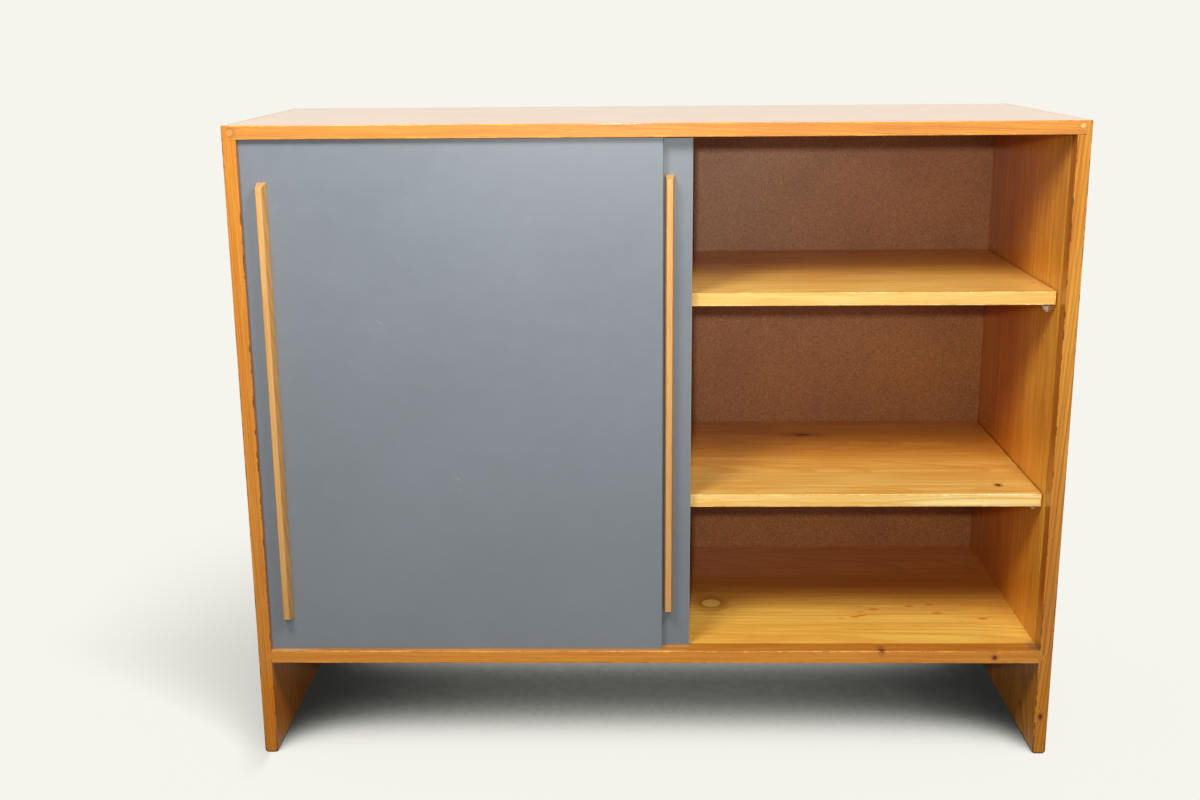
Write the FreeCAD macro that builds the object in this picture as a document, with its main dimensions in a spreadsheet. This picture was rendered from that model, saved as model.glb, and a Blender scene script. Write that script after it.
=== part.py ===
import FreeCAD, Part
import math
import os

import Sketcher

# Side cabinet of pine boards with two sliding doors. Lengths are in millimetres.
# X runs to the right, Y runs to the back, Z runs up. The origin lies on the ground,
# under the middle of the whole object, handles included.

SIZES = {
    # Carcass
    "overall_width": 1100,
    "overall_height": 875,
    "carcass_depth": 420,
    "board": 18,
    "foot_height": 137,
    "foot_chamfer": 3,
    "arris": 1,
    "end_lap": 11.5,
    "tongue_thickness": 6.4,
    "tongue_length": 8.5,
    "joint_gap": 0.5,
    # Back
    "back_thickness": 4,
    "back_rebate": 8,
    "back_gap": 0.5,
    # Door grooves, measured from the front edges of the boards
    "groove_width": 6,
    "front_groove_setback": 8.5,
    "groove_spacing": 13,
    "floor_groove_depth": 5,
    "ceiling_groove_depth": 11,
    "side_groove_depth": 4,
    # Doors
    "door_thickness": 5,
    "door_overlap": 24,
    "door_side_entry": 3,
    "door_ceiling_entry": 5,
    "door_floor_gap": 0.3,
    "door_arris": 0.8,
    "handle_gap": 2,
    # Handles
    "handle_end_room": 109.7,
    "front_handle_foot": 50,
    "rear_handle_foot": 56,
    "handle_base_width": 13,
    "handle_face_width": 8,
    "handle_depth": 19,
    "handle_end_bevel": 5,
    "handle_arris": 0.6,
    "handle_inset": 30,
    # Screws that hold a handle through its door
    "screw_count": 3,
    "screw_end_inset": 60,
    "screw_diameter": 3.5,
    "screw_head_diameter": 7,
    "screw_length": 16,
    "screw_point": 4,
    "screw_tip_diameter": 0.6,
    "screw_side_count": 12,
    "fit_gap": 0.05,
    # Shelves and the supports that carry them
    "shelf_setback": 36,
    "shelf_end_gap": 2,
    "shelf_back_gap": 1,
    "lower_support_rise": 188,
    "shelf_spacing": 280,
    "support_spacing": 40,
    "support_row_count": 3,
    "support_inset": 44,
    "support_drop": 10,
    "support_nose": 5,
    "support_reach": 12,
    "support_width": 10,
    "support_arris": 0.8,
    "stem_diameter": 5,
    "stem_side_count": 12,
    "stem_length": 8,
    "stem_hole_spare": 0.5,
    # Nails that hold the back
    "nail_row_count": 8,
    "nail_column_count": 5,
    "nail_corner_inset": 40,
    "nail_length": 18,
    "nail_diameter": 1.6,
    "nail_head_diameter": 4,
    "nail_head_thickness": 0.8,
    "nail_point": 3,
    "nail_tip_diameter": 0.3,
    "nail_side_count": 8,
}

PLACES = {
    # Planes of the carcass
    "inner_face_x": "Sizes.overall_width / 2 - Sizes.board",
    "floor_top_z": "Sizes.foot_height + Sizes.board",
    "ceiling_z": "Sizes.overall_height - Sizes.board",
    "clear_height": "ceiling_z - floor_top_z",
    "board_back_y": "Sizes.carcass_depth - Sizes.back_thickness",
    "top_length": "Sizes.overall_width - 2 * (Sizes.board - Sizes.end_lap)",
    "bottom_length": "2 * inner_face_x",
    "tongue_low": "(Sizes.board - Sizes.tongue_thickness) / 2",
    "tongue_high": "(Sizes.board + Sizes.tongue_thickness) / 2",
    "dado_depth": "Sizes.tongue_length + Sizes.joint_gap",
    "dado_low_z": "Sizes.foot_height + tongue_low",
    "dado_high_z": "Sizes.foot_height + tongue_high",
    # Grooves and doors
    "front_groove_y": "Sizes.front_groove_setback",
    "rear_groove_y": "front_groove_y + Sizes.groove_spacing",
    "groove_play": "(Sizes.groove_width - Sizes.door_thickness) / 2",
    "front_door_y": "front_groove_y + groove_play",
    "rear_door_y": "rear_groove_y + groove_play",
    "groove_floor_z": "floor_top_z - Sizes.floor_groove_depth",
    "door_bottom_z": "groove_floor_z + Sizes.door_floor_gap",
    "door_height": "ceiling_z + Sizes.door_ceiling_entry - door_bottom_z",
    "door_width": "inner_face_x + Sizes.door_side_entry + Sizes.door_overlap / 2",
    "closed_edge_x": "inner_face_x + Sizes.door_side_entry",
    "front_door_x": "door_width / 2 - closed_edge_x",
    "handle_stop_x": "door_width - closed_edge_x + Sizes.handle_gap",
    "rear_handle_x": "handle_stop_x + Sizes.handle_base_width / 2",
    "rear_door_x": "rear_handle_x + Sizes.handle_inset - door_width / 2",
    "rear_door_travel": "closed_edge_x - door_width / 2 - rear_door_x",
    "handle_side": "door_width / 2 - Sizes.handle_inset",
    "handle_length": "door_height - Sizes.handle_end_room",
    "front_handle_rise": "Sizes.front_handle_foot + handle_length / 2",
    "rear_handle_rise": "Sizes.rear_handle_foot + handle_length / 2",
    "screw_span": "handle_length - 2 * Sizes.screw_end_inset",
    "screw_spacing": "screw_span / (Sizes.screw_count - 1)",
    # The handle of the front door stands out past the carcass
    "handle_overhang": "max(Sizes.handle_depth - front_door_y; 0)",
    "carcass_front_y": "handle_overhang / 2 - Sizes.carcass_depth / 2",
    # Shelves and supports
    "shelf_x": "(inner_face_x + Sizes.board / 2) / 2",
    "shelf_length": "inner_face_x - Sizes.board / 2 - 2 * Sizes.shelf_end_gap",
    "shelf_back_y": "board_back_y - Sizes.shelf_back_gap",
    "shelf_depth": "shelf_back_y - Sizes.shelf_setback",
    "lower_stem_z": "floor_top_z + Sizes.lower_support_rise",
    "upper_stem_z": "lower_stem_z + Sizes.shelf_spacing",
    "front_column_y": "Sizes.shelf_setback + Sizes.support_inset",
    "column_spacing": "shelf_depth - 2 * Sizes.support_inset",
    "stem_hole_depth": "Sizes.stem_length + Sizes.stem_hole_spare",
    "rows_below": "(Sizes.support_row_count - 1) / 2 * Sizes.support_spacing",
    # Back and its nails
    "back_half_width": "inner_face_x + Sizes.back_rebate - Sizes.back_gap",
    "back_top_z": "ceiling_z + Sizes.back_rebate - Sizes.back_gap",
    "nail_side_x": "inner_face_x + Sizes.back_rebate / 2",
    "nail_row_x": "inner_face_x - Sizes.nail_corner_inset",
    "nail_x_spacing": "2 * nail_row_x / (Sizes.nail_row_count - 1)",
    "nail_rows_apart": "ceiling_z + (Sizes.back_rebate - Sizes.board) / 2 - Sizes.foot_height",
    "nail_low_z": "floor_top_z + Sizes.nail_corner_inset",
    "nail_z_span": "clear_height - 2 * Sizes.nail_corner_inset",
    "nail_z_spacing": "nail_z_span / (Sizes.nail_column_count - 1)",
    "nail_depth": "Sizes.nail_length - Sizes.back_thickness",
}

HALF_TURN_DEGREES = 180
COUNTERSINK_DEGREES = 90
SMALL_VOLUME_SHARE = 1e-9

doc = FreeCAD.newDocument("SideCabinet")
pieces = []


def fill_sheet(name, cells, prefix=""):
    """One named cell per row; a prefix turns the text into a formula."""
    sheet = doc.addObject("Spreadsheet::Sheet", name)
    for row, (alias, content) in enumerate(cells.items(), 1):
        sheet.set(f"A{row}", alias)
        sheet.set(f"B{row}", f"{prefix}{content}")
        sheet.setAlias(f"B{row}", alias)
    doc.recompute()
    return sheet


sizes = fill_sheet("Sizes", SIZES)
places = fill_sheet("Places", PLACES, "=")


def value(expression):
    """The number that an expression on the two sheets gives."""
    result = sizes.evalExpression(str(expression))
    return float(getattr(result, "Value", result))


def origin_feature(body, role):
    return next(item for item in body.Origin.OriginFeatures if item.Role == role)


def new_body(label):
    body = doc.addObject("PartDesign::Body", label)
    body.Label = label
    return body


def new_sketch(body, name, plane, offset):
    """An empty sketch on one of the body's own planes, moved along the plane's normal."""
    sketch = body.newObject("Sketcher::SketchObject", name)
    sketch.AttachmentSupport = [(origin_feature(body, plane), "")]
    sketch.MapMode = "FlatFace"
    if offset != "0":
        sketch.setExpression("AttachmentOffset.Base.z", offset)
    return sketch


def pin_point(sketch, curve, point, x, y):
    """Holds a point at two expressions, measured from the sketch's origin.

    A sketch numbers its level axis -1 and its upright axis -2, and (-1, 1) is its origin.
    """
    for kind, axis, place in (("DistanceX", -2, x), ("DistanceY", -1, y)):
        if place is None:
            continue
        if place == "0":
            sketch.addConstraint(Sketcher.Constraint("PointOnObject", curve, point, axis))
            continue
        rule = Sketcher.Constraint(kind, -1, 1, curve, point, value(place))
        index = sketch.addConstraint(rule)
        sketch.setExpression(f"Constraints[{index}]", place)


def outline(body, name, plane, points, offset="0"):
    """A closed sketch through points given as pairs of expressions."""
    sketch = new_sketch(body, name, plane, offset)
    corners = [FreeCAD.Vector(value(x), value(y), 0) for x, y in points]
    count = len(points)
    for index in range(count):
        line = Part.LineSegment(corners[index], corners[(index + 1) % count])
        sketch.addGeometry(line, False)
    for index in range(count):
        joint = Sketcher.Constraint("Coincident", index, 2, (index + 1) % count, 1)
        sketch.addConstraint(joint)
    x_known = set()
    y_known = set()
    for index in range(count):
        following = (index + 1) % count
        if points[index][0] == points[following][0]:
            sketch.addConstraint(Sketcher.Constraint("Vertical", index))
            pin_point(sketch, index, 1, points[index][0], None)
            x_known.update((index, following))
        elif points[index][1] == points[following][1]:
            sketch.addConstraint(Sketcher.Constraint("Horizontal", index))
            pin_point(sketch, index, 1, None, points[index][1])
            y_known.update((index, following))
    for index, (x, y) in enumerate(points):
        pin_point(sketch, index, 1, None if index in x_known else x, None if index in y_known else y)
    return sketch


def rectangle(body, name, plane, low, high, offset="0"):
    corners = [low, (high[0], low[1]), high, (low[0], high[1])]
    return outline(body, name, plane, corners, offset)


def circles(body, name, plane, centres, diameter, offset="0"):
    """A sketch of equal circles, each centre a pair of expressions."""
    sketch = new_sketch(body, name, plane, offset)
    for index, (x, y) in enumerate(centres):
        middle = FreeCAD.Vector(value(x), value(y), 0)
        circle = Part.Circle(middle, FreeCAD.Vector(0, 0, 1), value(diameter) / 2)
        sketch.addGeometry(circle, False)
        pin_point(sketch, index, 3, x, y)
        rule = Sketcher.Constraint("Diameter", index, value(diameter))
        number = sketch.addConstraint(rule)
        sketch.setExpression(f"Constraints[{number}]", diameter)
    return sketch


def polygon(body, name, plane, centre, radius, sides, offset="0"):
    """A regular outline about a point: small round parts are drawn with few flats."""
    points = []
    for index in range(int(value(sides))):
        angle = f"({index} + 1 / 2) * 360 deg / {sides}"
        x = f"{centre[0]} + ({radius}) * cos({angle})"
        y = f"{centre[1]} + ({radius}) * sin({angle})"
        points.append((x, y))
    return outline(body, name, plane, points, offset)


def pad(body, sketch, length, side="One side", reverse=False):
    feature = body.newObject("PartDesign::Pad", sketch.Name + "Pad")
    feature.Profile = sketch
    feature.SideType = side
    feature.Reversed = reverse
    feature.setExpression("Length", length)
    doc.recompute()
    return feature


def expect_less(body, before, name):
    """A cut that removes nothing points the wrong way."""
    doc.recompute()
    if not body.Shape.Volume < before * (1 - SMALL_VOLUME_SHARE):
        raise RuntimeError(f"{name} removed no material from {body.Label}")


def pocket(body, sketch, length, reverse=False, side="One side"):
    before = body.Shape.Volume
    feature = body.newObject("PartDesign::Pocket", sketch.Name + "Pocket")
    feature.Profile = sketch
    feature.SideType = side
    feature.Reversed = reverse
    feature.Refine = False
    feature.setExpression("Length", length)
    expect_less(body, before, feature.Name)
    return feature


def repeat(body, feature, *runs):
    """A pattern along one or two axes; a run is axis role, count and spacing."""
    before = body.Shape.Volume
    pattern = body.newObject("PartDesign::LinearPattern", feature.Name + "Rows")
    pattern.Originals = [feature]
    pattern.Refine = False
    for suffix, (axis, count, spacing) in zip(("", "2"), runs):
        setattr(pattern, "Direction" + suffix, (origin_feature(body, axis), [""]))
        setattr(pattern, "Mode" + suffix, "Extent")
        pattern.setExpression("Occurrences" + suffix, count)
        pattern.setExpression("Length" + suffix, f"({count} - 1) * {spacing}")
    body.Tip = pattern
    expect_less(body, before, pattern.Name)
    return pattern


def ease_edges(body, kind, name, size, chosen):
    """Rounds or bevels the edges of the last feature that a test on their boxes picks."""
    base = body.Tip
    names = []
    for number, edge in enumerate(base.Shape.Edges, 1):
        box = edge.BoundBox
        low = (box.XMin, box.YMin, box.ZMin)
        high = (box.XMax, box.YMax, box.ZMax)
        if chosen(low, high):
            names.append(f"Edge{number}")
    if not names:
        raise RuntimeError(f"{name} finds no edge on {body.Label}")
    feature = body.newObject(f"PartDesign::{kind}", name)
    feature.Base = (base, names)
    feature.setExpression("Radius" if kind == "Fillet" else "Size", size)
    body.Tip = feature
    doc.recompute()
    return feature


def round_edges(body, name, radius, chosen):
    return ease_edges(body, "Fillet", name, radius, chosen)


def bevel_edges(body, name, size, chosen):
    return ease_edges(body, "Chamfer", name, size, chosen)


def loft(body, name, first, second):
    """A solid with flat sides between two outlines that have the same number of corners."""
    feature = body.newObject("PartDesign::AdditiveLoft", name)
    feature.Profile = first
    feature.Sections = [second]
    feature.Ruled = True
    doc.recompute()
    return feature


def same(first, second):
    """Whether two lengths agree, well inside the smallest radius on the object."""
    return abs(first - second) < value("Sizes.fit_gap")


def lies_at(low, high, axis, expression):
    """Whether an edge's box lies wholly in the plane across an axis at a place."""
    place = value(expression)
    return same(low[axis], place) and same(high[axis], place)


def place(piece, x="0", y="0", z="0"):
    """Puts a finished piece in the cabinet and keeps it for export."""
    for axis, expression in zip("xyz", (x, y, z)):
        if expression != "0":
            piece.setExpression(f"Placement.Base.{axis}", expression)
    pieces.append(piece)
    return piece


def drill_supports(body, face_x, reverse, base_z="0"):
    """Two columns of blind holes at each shelf, in the face at face_x.

    The body's own zero lies at base_z above the ground.
    """
    for name, stem_z in (("Lower", "Places.lower_stem_z"), ("Upper", "Places.upper_stem_z")):
        first_row = f"{stem_z} - Places.rows_below - {base_z}"
        hole = polygon(
            body,
            f"{name}Hole",
            "YZ_Plane",
            ("Places.front_column_y", first_row),
            "Sizes.stem_diameter / 2 + Sizes.fit_gap",
            "Sizes.stem_side_count",
            face_x,
        )
        drilled = pocket(body, hole, "Places.stem_hole_depth", reverse)
        repeat(
            body,
            drilled,
            ("Z_Axis", "Sizes.support_row_count", "Sizes.support_spacing"),
            ("Y_Axis", "2", "Places.column_spacing"),
        )


def drill_nails(body, x, z, run):
    """A row of nail holes that enters the board's back edge."""
    hole = polygon(
        body,
        "NailHole",
        "XZ_Plane",
        (x, z),
        "Sizes.nail_diameter / 2 + Sizes.fit_gap",
        "Sizes.nail_side_count",
        "-Places.board_back_y",
    )
    drilled = pocket(body, hole, "Places.nail_depth + Sizes.fit_gap", True)
    return repeat(body, drilled, run)


def nails_across():
    return ("X_Axis", "Sizes.nail_row_count", "Places.nail_x_spacing")


def nails_up():
    return ("Z_Axis", "Sizes.nail_column_count", "Places.nail_z_spacing")


def side_panel(label, hand, groove_y):
    """A side board down to the ground; hand is 1 on the left and -1 on the right.

    Its own zero lies on the outer face, and the inner face lies at hand times the board.
    """
    body = new_body(label)
    outer = "0"
    inner = f"{hand} * Sizes.board"
    dado_end = f"{hand} * (Sizes.board - Places.dado_depth)"
    lap_end = f"{hand} * (Sizes.board - Sizes.end_lap)"
    profile = outline(
        body,
        "Profile",
        "XZ_Plane",
        [
            (outer, "0"),
            (inner, "0"),
            (inner, "Places.dado_low_z"),
            (dado_end, "Places.dado_low_z"),
            (dado_end, "Places.dado_high_z"),
            (inner, "Places.dado_high_z"),
            (inner, "Places.ceiling_z"),
            (lap_end, "Places.ceiling_z"),
            (lap_end, "Sizes.overall_height"),
            (outer, "Sizes.overall_height"),
        ],
    )
    pad(body, profile, "Sizes.carcass_depth", reverse=True)
    bevel_edges(
        body,
        "FootCorners",
        "Sizes.foot_chamfer",
        lambda low, high: lies_at(low, high, 2, "0") and same(low[0], high[0]),
    )
    round_edges(body, "Arrises", "Sizes.arris", lambda low, high: is_side_arris(low, high, inner))
    rebate = rectangle(
        body,
        "Rebate",
        "XZ_Plane",
        (f"{hand} * (Sizes.board - Sizes.back_rebate)", "Sizes.foot_height"),
        (inner, "Places.ceiling_z"),
        "-Sizes.carcass_depth",
    )
    pocket(body, rebate, "Sizes.back_thickness", True)
    groove = rectangle(
        body,
        "DoorGroove",
        "YZ_Plane",
        (groove_y, "Places.groove_floor_z"),
        (f"{groove_y} + Sizes.groove_width", "Places.ceiling_z"),
        inner,
    )
    pocket(body, groove, "Sizes.side_groove_depth", hand < 0)
    drill_supports(body, inner, hand < 0)
    drill_nails(
        body,
        f"{hand} * (Sizes.board - Sizes.back_rebate / 2)",
        "Places.nail_low_z",
        nails_up(),
    )
    x = f"-{hand} * Sizes.overall_width / 2"
    return place(body, x, "Places.carcass_front_y")


def is_side_arris(low, high, inner):
    """Front edges of a side board, except those inside its joints, and its outer top edge."""
    on_front = lies_at(low, high, 1, "0")
    outer_face = lies_at(low, high, 0, "0")
    inner_face = lies_at(low, high, 0, inner)
    foot = high[2] < value("Sizes.foot_chamfer") + value("Sizes.fit_gap")
    top = lies_at(low, high, 2, "Sizes.overall_height")
    return (on_front and (outer_face or inner_face or foot or top)) or (outer_face and top)


def grooved_profile(body, points):
    return outline(body, "Profile", "YZ_Plane", points)


def groove_points(level, bottom, order):
    """Corners of both door grooves along a board's face, from the front or from the back."""
    corners = []
    for start in ("Places.front_groove_y", "Places.rear_groove_y"):
        end = f"{start} + Sizes.groove_width"
        corners += [(start, level), (start, bottom), (end, bottom), (end, level)]
    return corners[::order]


def front_arrises(body, height):
    """Rounds the two long front edges of a level board."""

    def chosen(low, high):
        long_edge = lies_at(low, high, 1, "0") and same(low[2], high[2])
        return long_edge and (same(low[2], 0) or same(low[2], value(height)))

    round_edges(body, "Arrises", "Sizes.arris", chosen)


def partition_dado(body, face_z, reverse):
    """Groove that takes the tongue of the partition, open to the back only."""
    slot = rectangle(
        body,
        "Dado",
        "XY_Plane",
        ("-Sizes.tongue_thickness / 2", "Sizes.shelf_setback"),
        ("Sizes.tongue_thickness / 2", "Places.board_back_y"),
        face_z,
    )
    pocket(body, slot, "Places.dado_depth", reverse)


def top_panel():
    """Top board, lapped over the sides, with two deep door grooves underneath."""
    body = new_body("top_panel")
    profile = grooved_profile(
        body,
        [("0", "0")]
        + groove_points("0", "Sizes.ceiling_groove_depth", 1)
        + [
            ("Places.board_back_y", "0"),
            ("Places.board_back_y", "Sizes.back_rebate"),
            ("Sizes.carcass_depth", "Sizes.back_rebate"),
            ("Sizes.carcass_depth", "Sizes.board"),
            ("0", "Sizes.board"),
        ],
    )
    pad(body, profile, "Places.top_length", "Symmetric")
    front_arrises(body, "Sizes.board")
    partition_dado(body, "0", True)
    drill_nails(
        body,
        "-Places.nail_row_x",
        "Sizes.back_rebate / 2",
        nails_across(),
    )
    return place(body, "0", "Places.carcass_front_y", "Places.ceiling_z")


def bottom_panel():
    """Bottom board with shallow door grooves and a tongue at each end."""
    body = new_body("bottom_panel")
    floor = "Sizes.board - Sizes.floor_groove_depth"
    profile = grooved_profile(
        body,
        [("0", "0"), ("Places.board_back_y", "0"), ("Places.board_back_y", "Sizes.board")]
        + groove_points("Sizes.board", floor, -1)
        + [("0", "Sizes.board")],
    )
    pad(body, profile, "Places.bottom_length", "Symmetric")
    front_arrises(body, "Sizes.board")
    tongue = rectangle(
        body,
        "Tongue",
        "YZ_Plane",
        ("0", "Places.tongue_low"),
        ("Places.board_back_y", "Places.tongue_high"),
    )
    pad(body, tongue, "Places.bottom_length + 2 * Sizes.tongue_length", "Symmetric")
    partition_dado(body, "Sizes.board", False)
    drill_nails(
        body,
        "-Places.nail_row_x",
        "Sizes.board / 2",
        nails_across(),
    )
    return place(body, "0", "Places.carcass_front_y", "Sizes.foot_height")


def centre_partition():
    """Upright between the two halves, tongued into the top and bottom boards."""
    body = new_body("centre_partition")
    depth = "Places.board_back_y - Sizes.shelf_setback"
    board = rectangle(
        body,
        "Board",
        "XZ_Plane",
        ("-Sizes.board / 2", "0"),
        ("Sizes.board / 2", "Places.clear_height"),
        "-Sizes.shelf_setback",
    )
    pad(body, board, depth, reverse=True)

    def chosen(low, high):
        return lies_at(low, high, 1, "Sizes.shelf_setback") and same(low[0], high[0])

    round_edges(body, "Arrises", "Sizes.arris", chosen)
    tongue = rectangle(
        body,
        "Tongue",
        "XZ_Plane",
        ("-Sizes.tongue_thickness / 2", "-Sizes.tongue_length"),
        ("Sizes.tongue_thickness / 2", "Places.clear_height + Sizes.tongue_length"),
        "-Sizes.shelf_setback",
    )
    pad(body, tongue, depth, reverse=True)
    drill_supports(body, "Sizes.board / 2", False, "Places.floor_top_z")
    drill_supports(body, "-Sizes.board / 2", True, "Places.floor_top_z")
    drill_nails(
        body,
        "0",
        "Places.nail_low_z - Places.floor_top_z",
        nails_up(),
    )
    return place(body, "0", "Places.carcass_front_y", "Places.floor_top_z")


def nail_fields():
    """Fields of nails in the back: the first nail, from its lower edge, and its runs."""
    low_z = "Places.nail_low_z - Sizes.foot_height"
    pair_of_rows = ("Z_Axis", "2", "Places.nail_rows_apart")
    pair_of_columns = ("X_Axis", "2", "2 * Places.nail_side_x")
    return [
        ("-Places.nail_row_x", "Sizes.board / 2", (nails_across(), pair_of_rows)),
        ("-Places.nail_side_x", low_z, (nails_up(), pair_of_columns)),
        ("0", low_z, (nails_up(),)),
    ]


def nail_places():
    """Centres of all nails in the back, as pairs of expressions from its lower edge."""
    centres = []
    for first_x, first_z, runs in nail_fields():
        field = [(first_x, first_z)]
        for axis, count, spacing in runs:
            steps = [f" + {index} * {spacing}" for index in range(int(value(count)))]
            across = axis == "X_Axis"
            field = [(x + step, z) if across else (x, z + step) for x, z in field for step in steps]
        centres += field
    return centres


def back_panel():
    """Hardboard sheet in the rebates, with a small recess for each nail head."""
    body = new_body("back_panel")
    sheet = rectangle(
        body,
        "Sheet",
        "XZ_Plane",
        ("-Places.back_half_width", "0"),
        ("Places.back_half_width", "Places.back_top_z - Sizes.foot_height"),
    )
    pad(body, sheet, "Sizes.back_thickness", reverse=True)
    steps = (
        ("Shank", "Sizes.nail_diameter", "Sizes.back_thickness"),
        ("Head", "Sizes.nail_head_diameter", "Sizes.nail_head_thickness"),
    )
    for x, z, runs in nail_fields():
        for name, diameter, depth in steps:
            hole = polygon(
                body,
                name,
                "XZ_Plane",
                (x, z),
                f"{diameter} / 2 + Sizes.fit_gap",
                "Sizes.nail_side_count",
                "-Sizes.back_thickness",
            )
            repeat(body, pocket(body, hole, depth, True), *runs)
    y = "Places.carcass_front_y + Places.board_back_y"
    return place(body, "0", y, "Sizes.foot_height")


def bar_section(body, name, diameter, sides, y):
    """A few-sided section about the Y axis, at a depth along it."""
    return polygon(body, name, "XZ_Plane", ("0", "0"), f"{diameter} / 2", sides, f"-({y})")


def grouped(label, master, spots):
    """Copies of one fastener as separate solids in one piece."""
    solids = []
    for spot in spots:
        solid = master.Shape.Solids[0].copy()
        solid.Placement = spot
        solids.append(solid)
    group = doc.addObject("Part::Feature", label)
    group.Label = label
    group.Shape = Part.Compound(solids)
    return group


def moved(x, y, z, turn=0):
    """A place given by expressions, with a turn about the vertical in degrees."""
    spin = FreeCAD.Rotation(FreeCAD.Vector(0, 0, 1), turn)
    return FreeCAD.Placement(FreeCAD.Vector(value(x), value(y), value(z)), spin)


def back_panel_nails():
    """Nails driven flush with the outside of the back."""
    master = new_body("nail_master")
    sides = "Sizes.nail_side_count"
    shoulder = "Sizes.nail_point - Sizes.nail_length"
    head = bar_section(master, "Head", "Sizes.nail_head_diameter", sides, "0")
    pad(master, head, "Sizes.nail_head_thickness")
    shank = bar_section(master, "Shank", "Sizes.nail_diameter", sides, "0")
    pad(master, shank, "Sizes.nail_length - Sizes.nail_point")
    start = bar_section(master, "Shoulder", "Sizes.nail_diameter", sides, shoulder)
    tip = bar_section(master, "Tip", "Sizes.nail_tip_diameter", sides, "-Sizes.nail_length")
    loft(master, "Point", start, tip)
    rear = "Places.carcass_front_y + Sizes.carcass_depth"
    spots = [moved(x, rear, f"{z} + Sizes.foot_height") for x, z in nail_places()]
    pieces.append(grouped("back_panel_nails", master, spots))


def shelf(label, x, stem_z):
    """Loose shelf that lies on four supports."""
    body = new_body(label)
    board = rectangle(
        body,
        "Board",
        "XZ_Plane",
        ("-Places.shelf_length / 2", "0"),
        ("Places.shelf_length / 2", "Sizes.board"),
    )
    pad(body, board, "Places.shelf_depth", reverse=True)
    front_arrises(body, "Sizes.board")
    y = "Places.carcass_front_y + Sizes.shelf_setback"
    return place(body, x, y, f"{stem_z} + Sizes.support_drop")


def support_master():
    """Shelf support for a wall on its left: a rounded bracket on a round stem.

    Its zero lies on the wall, at the middle of its seat.
    """
    body = new_body("support_master")
    sketch = new_sketch(body, "Bracket", "XZ_Plane", "-Sizes.support_width / 2")
    reach = value("Sizes.support_reach")
    nose = value("Sizes.support_nose")
    wall_top = FreeCAD.Vector(0, 0, 0)
    nose_top = FreeCAD.Vector(reach, 0, 0)
    nose_end = FreeCAD.Vector(reach, -nose, 0)
    toe = FreeCAD.Vector(0, -nose - reach, 0)
    middle = FreeCAD.Vector(0, -nose, 0)
    belly = Part.Circle(middle, FreeCAD.Vector(0, 0, 1), reach)
    sketch.addGeometry(Part.LineSegment(toe, wall_top), False)
    sketch.addGeometry(Part.LineSegment(wall_top, nose_top), False)
    sketch.addGeometry(Part.LineSegment(nose_top, nose_end), False)
    sketch.addGeometry(Part.ArcOfCircle(belly, -math.pi / 2, 0), False)
    sketch.addConstraint(Sketcher.Constraint("Coincident", 0, 2, 1, 1))
    sketch.addConstraint(Sketcher.Constraint("Coincident", 1, 2, 2, 1))
    sketch.addConstraint(Sketcher.Constraint("Tangent", 2, 2, 3, 2))
    sketch.addConstraint(Sketcher.Constraint("Coincident", 3, 1, 0, 1))
    sketch.addConstraint(Sketcher.Constraint("Vertical", 0))
    sketch.addConstraint(Sketcher.Constraint("Horizontal", 1))
    sketch.addConstraint(Sketcher.Constraint("Vertical", 2))
    pin_point(sketch, 1, 1, "0", "0")
    pin_point(sketch, 1, 2, "Sizes.support_reach", None)
    pin_point(sketch, 3, 3, "0", "-Sizes.support_nose")
    pad(body, sketch, "Sizes.support_width")

    def chosen(low, high):
        return same(low[1], high[1]) and high[0] > reach / 2 and low[2] < -value("Sizes.fit_gap")

    bevel_edges(body, "Arrises", "Sizes.support_arris", chosen)
    stem = polygon(
        body,
        "Stem",
        "YZ_Plane",
        ("0", "-Sizes.support_drop"),
        "Sizes.stem_diameter / 2",
        "Sizes.stem_side_count",
    )
    pad(body, stem, "Sizes.stem_length", reverse=True)
    return body


def shelf_supports(label, master, hand, stem_z):
    """The four supports under one shelf; hand is -1 for the left half and 1 for the right."""
    walls = sorted((f"{hand} * Sizes.board / 2", f"{hand} * Places.inner_face_x"), key=value)
    spots = []
    for column in (0, 1):
        y = f"Places.carcass_front_y + Places.front_column_y + {column} * Places.column_spacing"
        seat_z = f"{stem_z} + Sizes.support_drop"
        spots.append(moved(walls[0], y, seat_z))
        spots.append(moved(walls[1], y, seat_z, HALF_TURN_DEGREES))
    pieces.append(grouped(label, master, spots))


def door_panel(label, hand, rise, x, y):
    """Thin door with countersunk screw holes behind its handle; hand is the handle's side."""
    body = new_body(label)
    sheet = rectangle(
        body,
        "Sheet",
        "XZ_Plane",
        ("-Places.door_width / 2", "0"),
        ("Places.door_width / 2", "Places.door_height"),
    )
    pad(body, sheet, "Sizes.door_thickness", reverse=True)

    def chosen(low, high):
        return same(low[1], high[1])

    round_edges(body, "Arrises", "Sizes.door_arris", chosen)
    centres = [(f"{hand} * Places.handle_side", z) for z in screw_heights(rise)]
    shank = "Sizes.screw_diameter + 2 * Sizes.fit_gap"
    sketch = circles(body, "Screws", "XZ_Plane", centres, shank, "-Sizes.door_thickness")
    doc.recompute()
    before = body.Shape.Volume
    hole = body.newObject("PartDesign::Hole", "Countersunk")
    hole.Profile = sketch
    hole.Reversed = True
    hole.DepthType = "ThroughAll"
    hole.setExpression("Diameter", shank)
    hole.HoleCutType = "Countersink"
    hole.HoleCutCustomValues = True
    hole.HoleCutCountersinkAngle = COUNTERSINK_DEGREES
    hole.setExpression("HoleCutDiameter", "Sizes.screw_head_diameter + 4 * Sizes.fit_gap")
    expect_less(body, before, hole.Name)
    return place(body, x, f"Places.carcass_front_y + {y}", "Places.door_bottom_z")


def screw_heights(middle):
    """Heights of one handle's screws about the middle of the handle."""
    count = int(value("Sizes.screw_count"))
    first = f"{middle} - Places.screw_span / 2"
    return [f"{first} + {index} * Places.screw_spacing" for index in range(count)]


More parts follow.
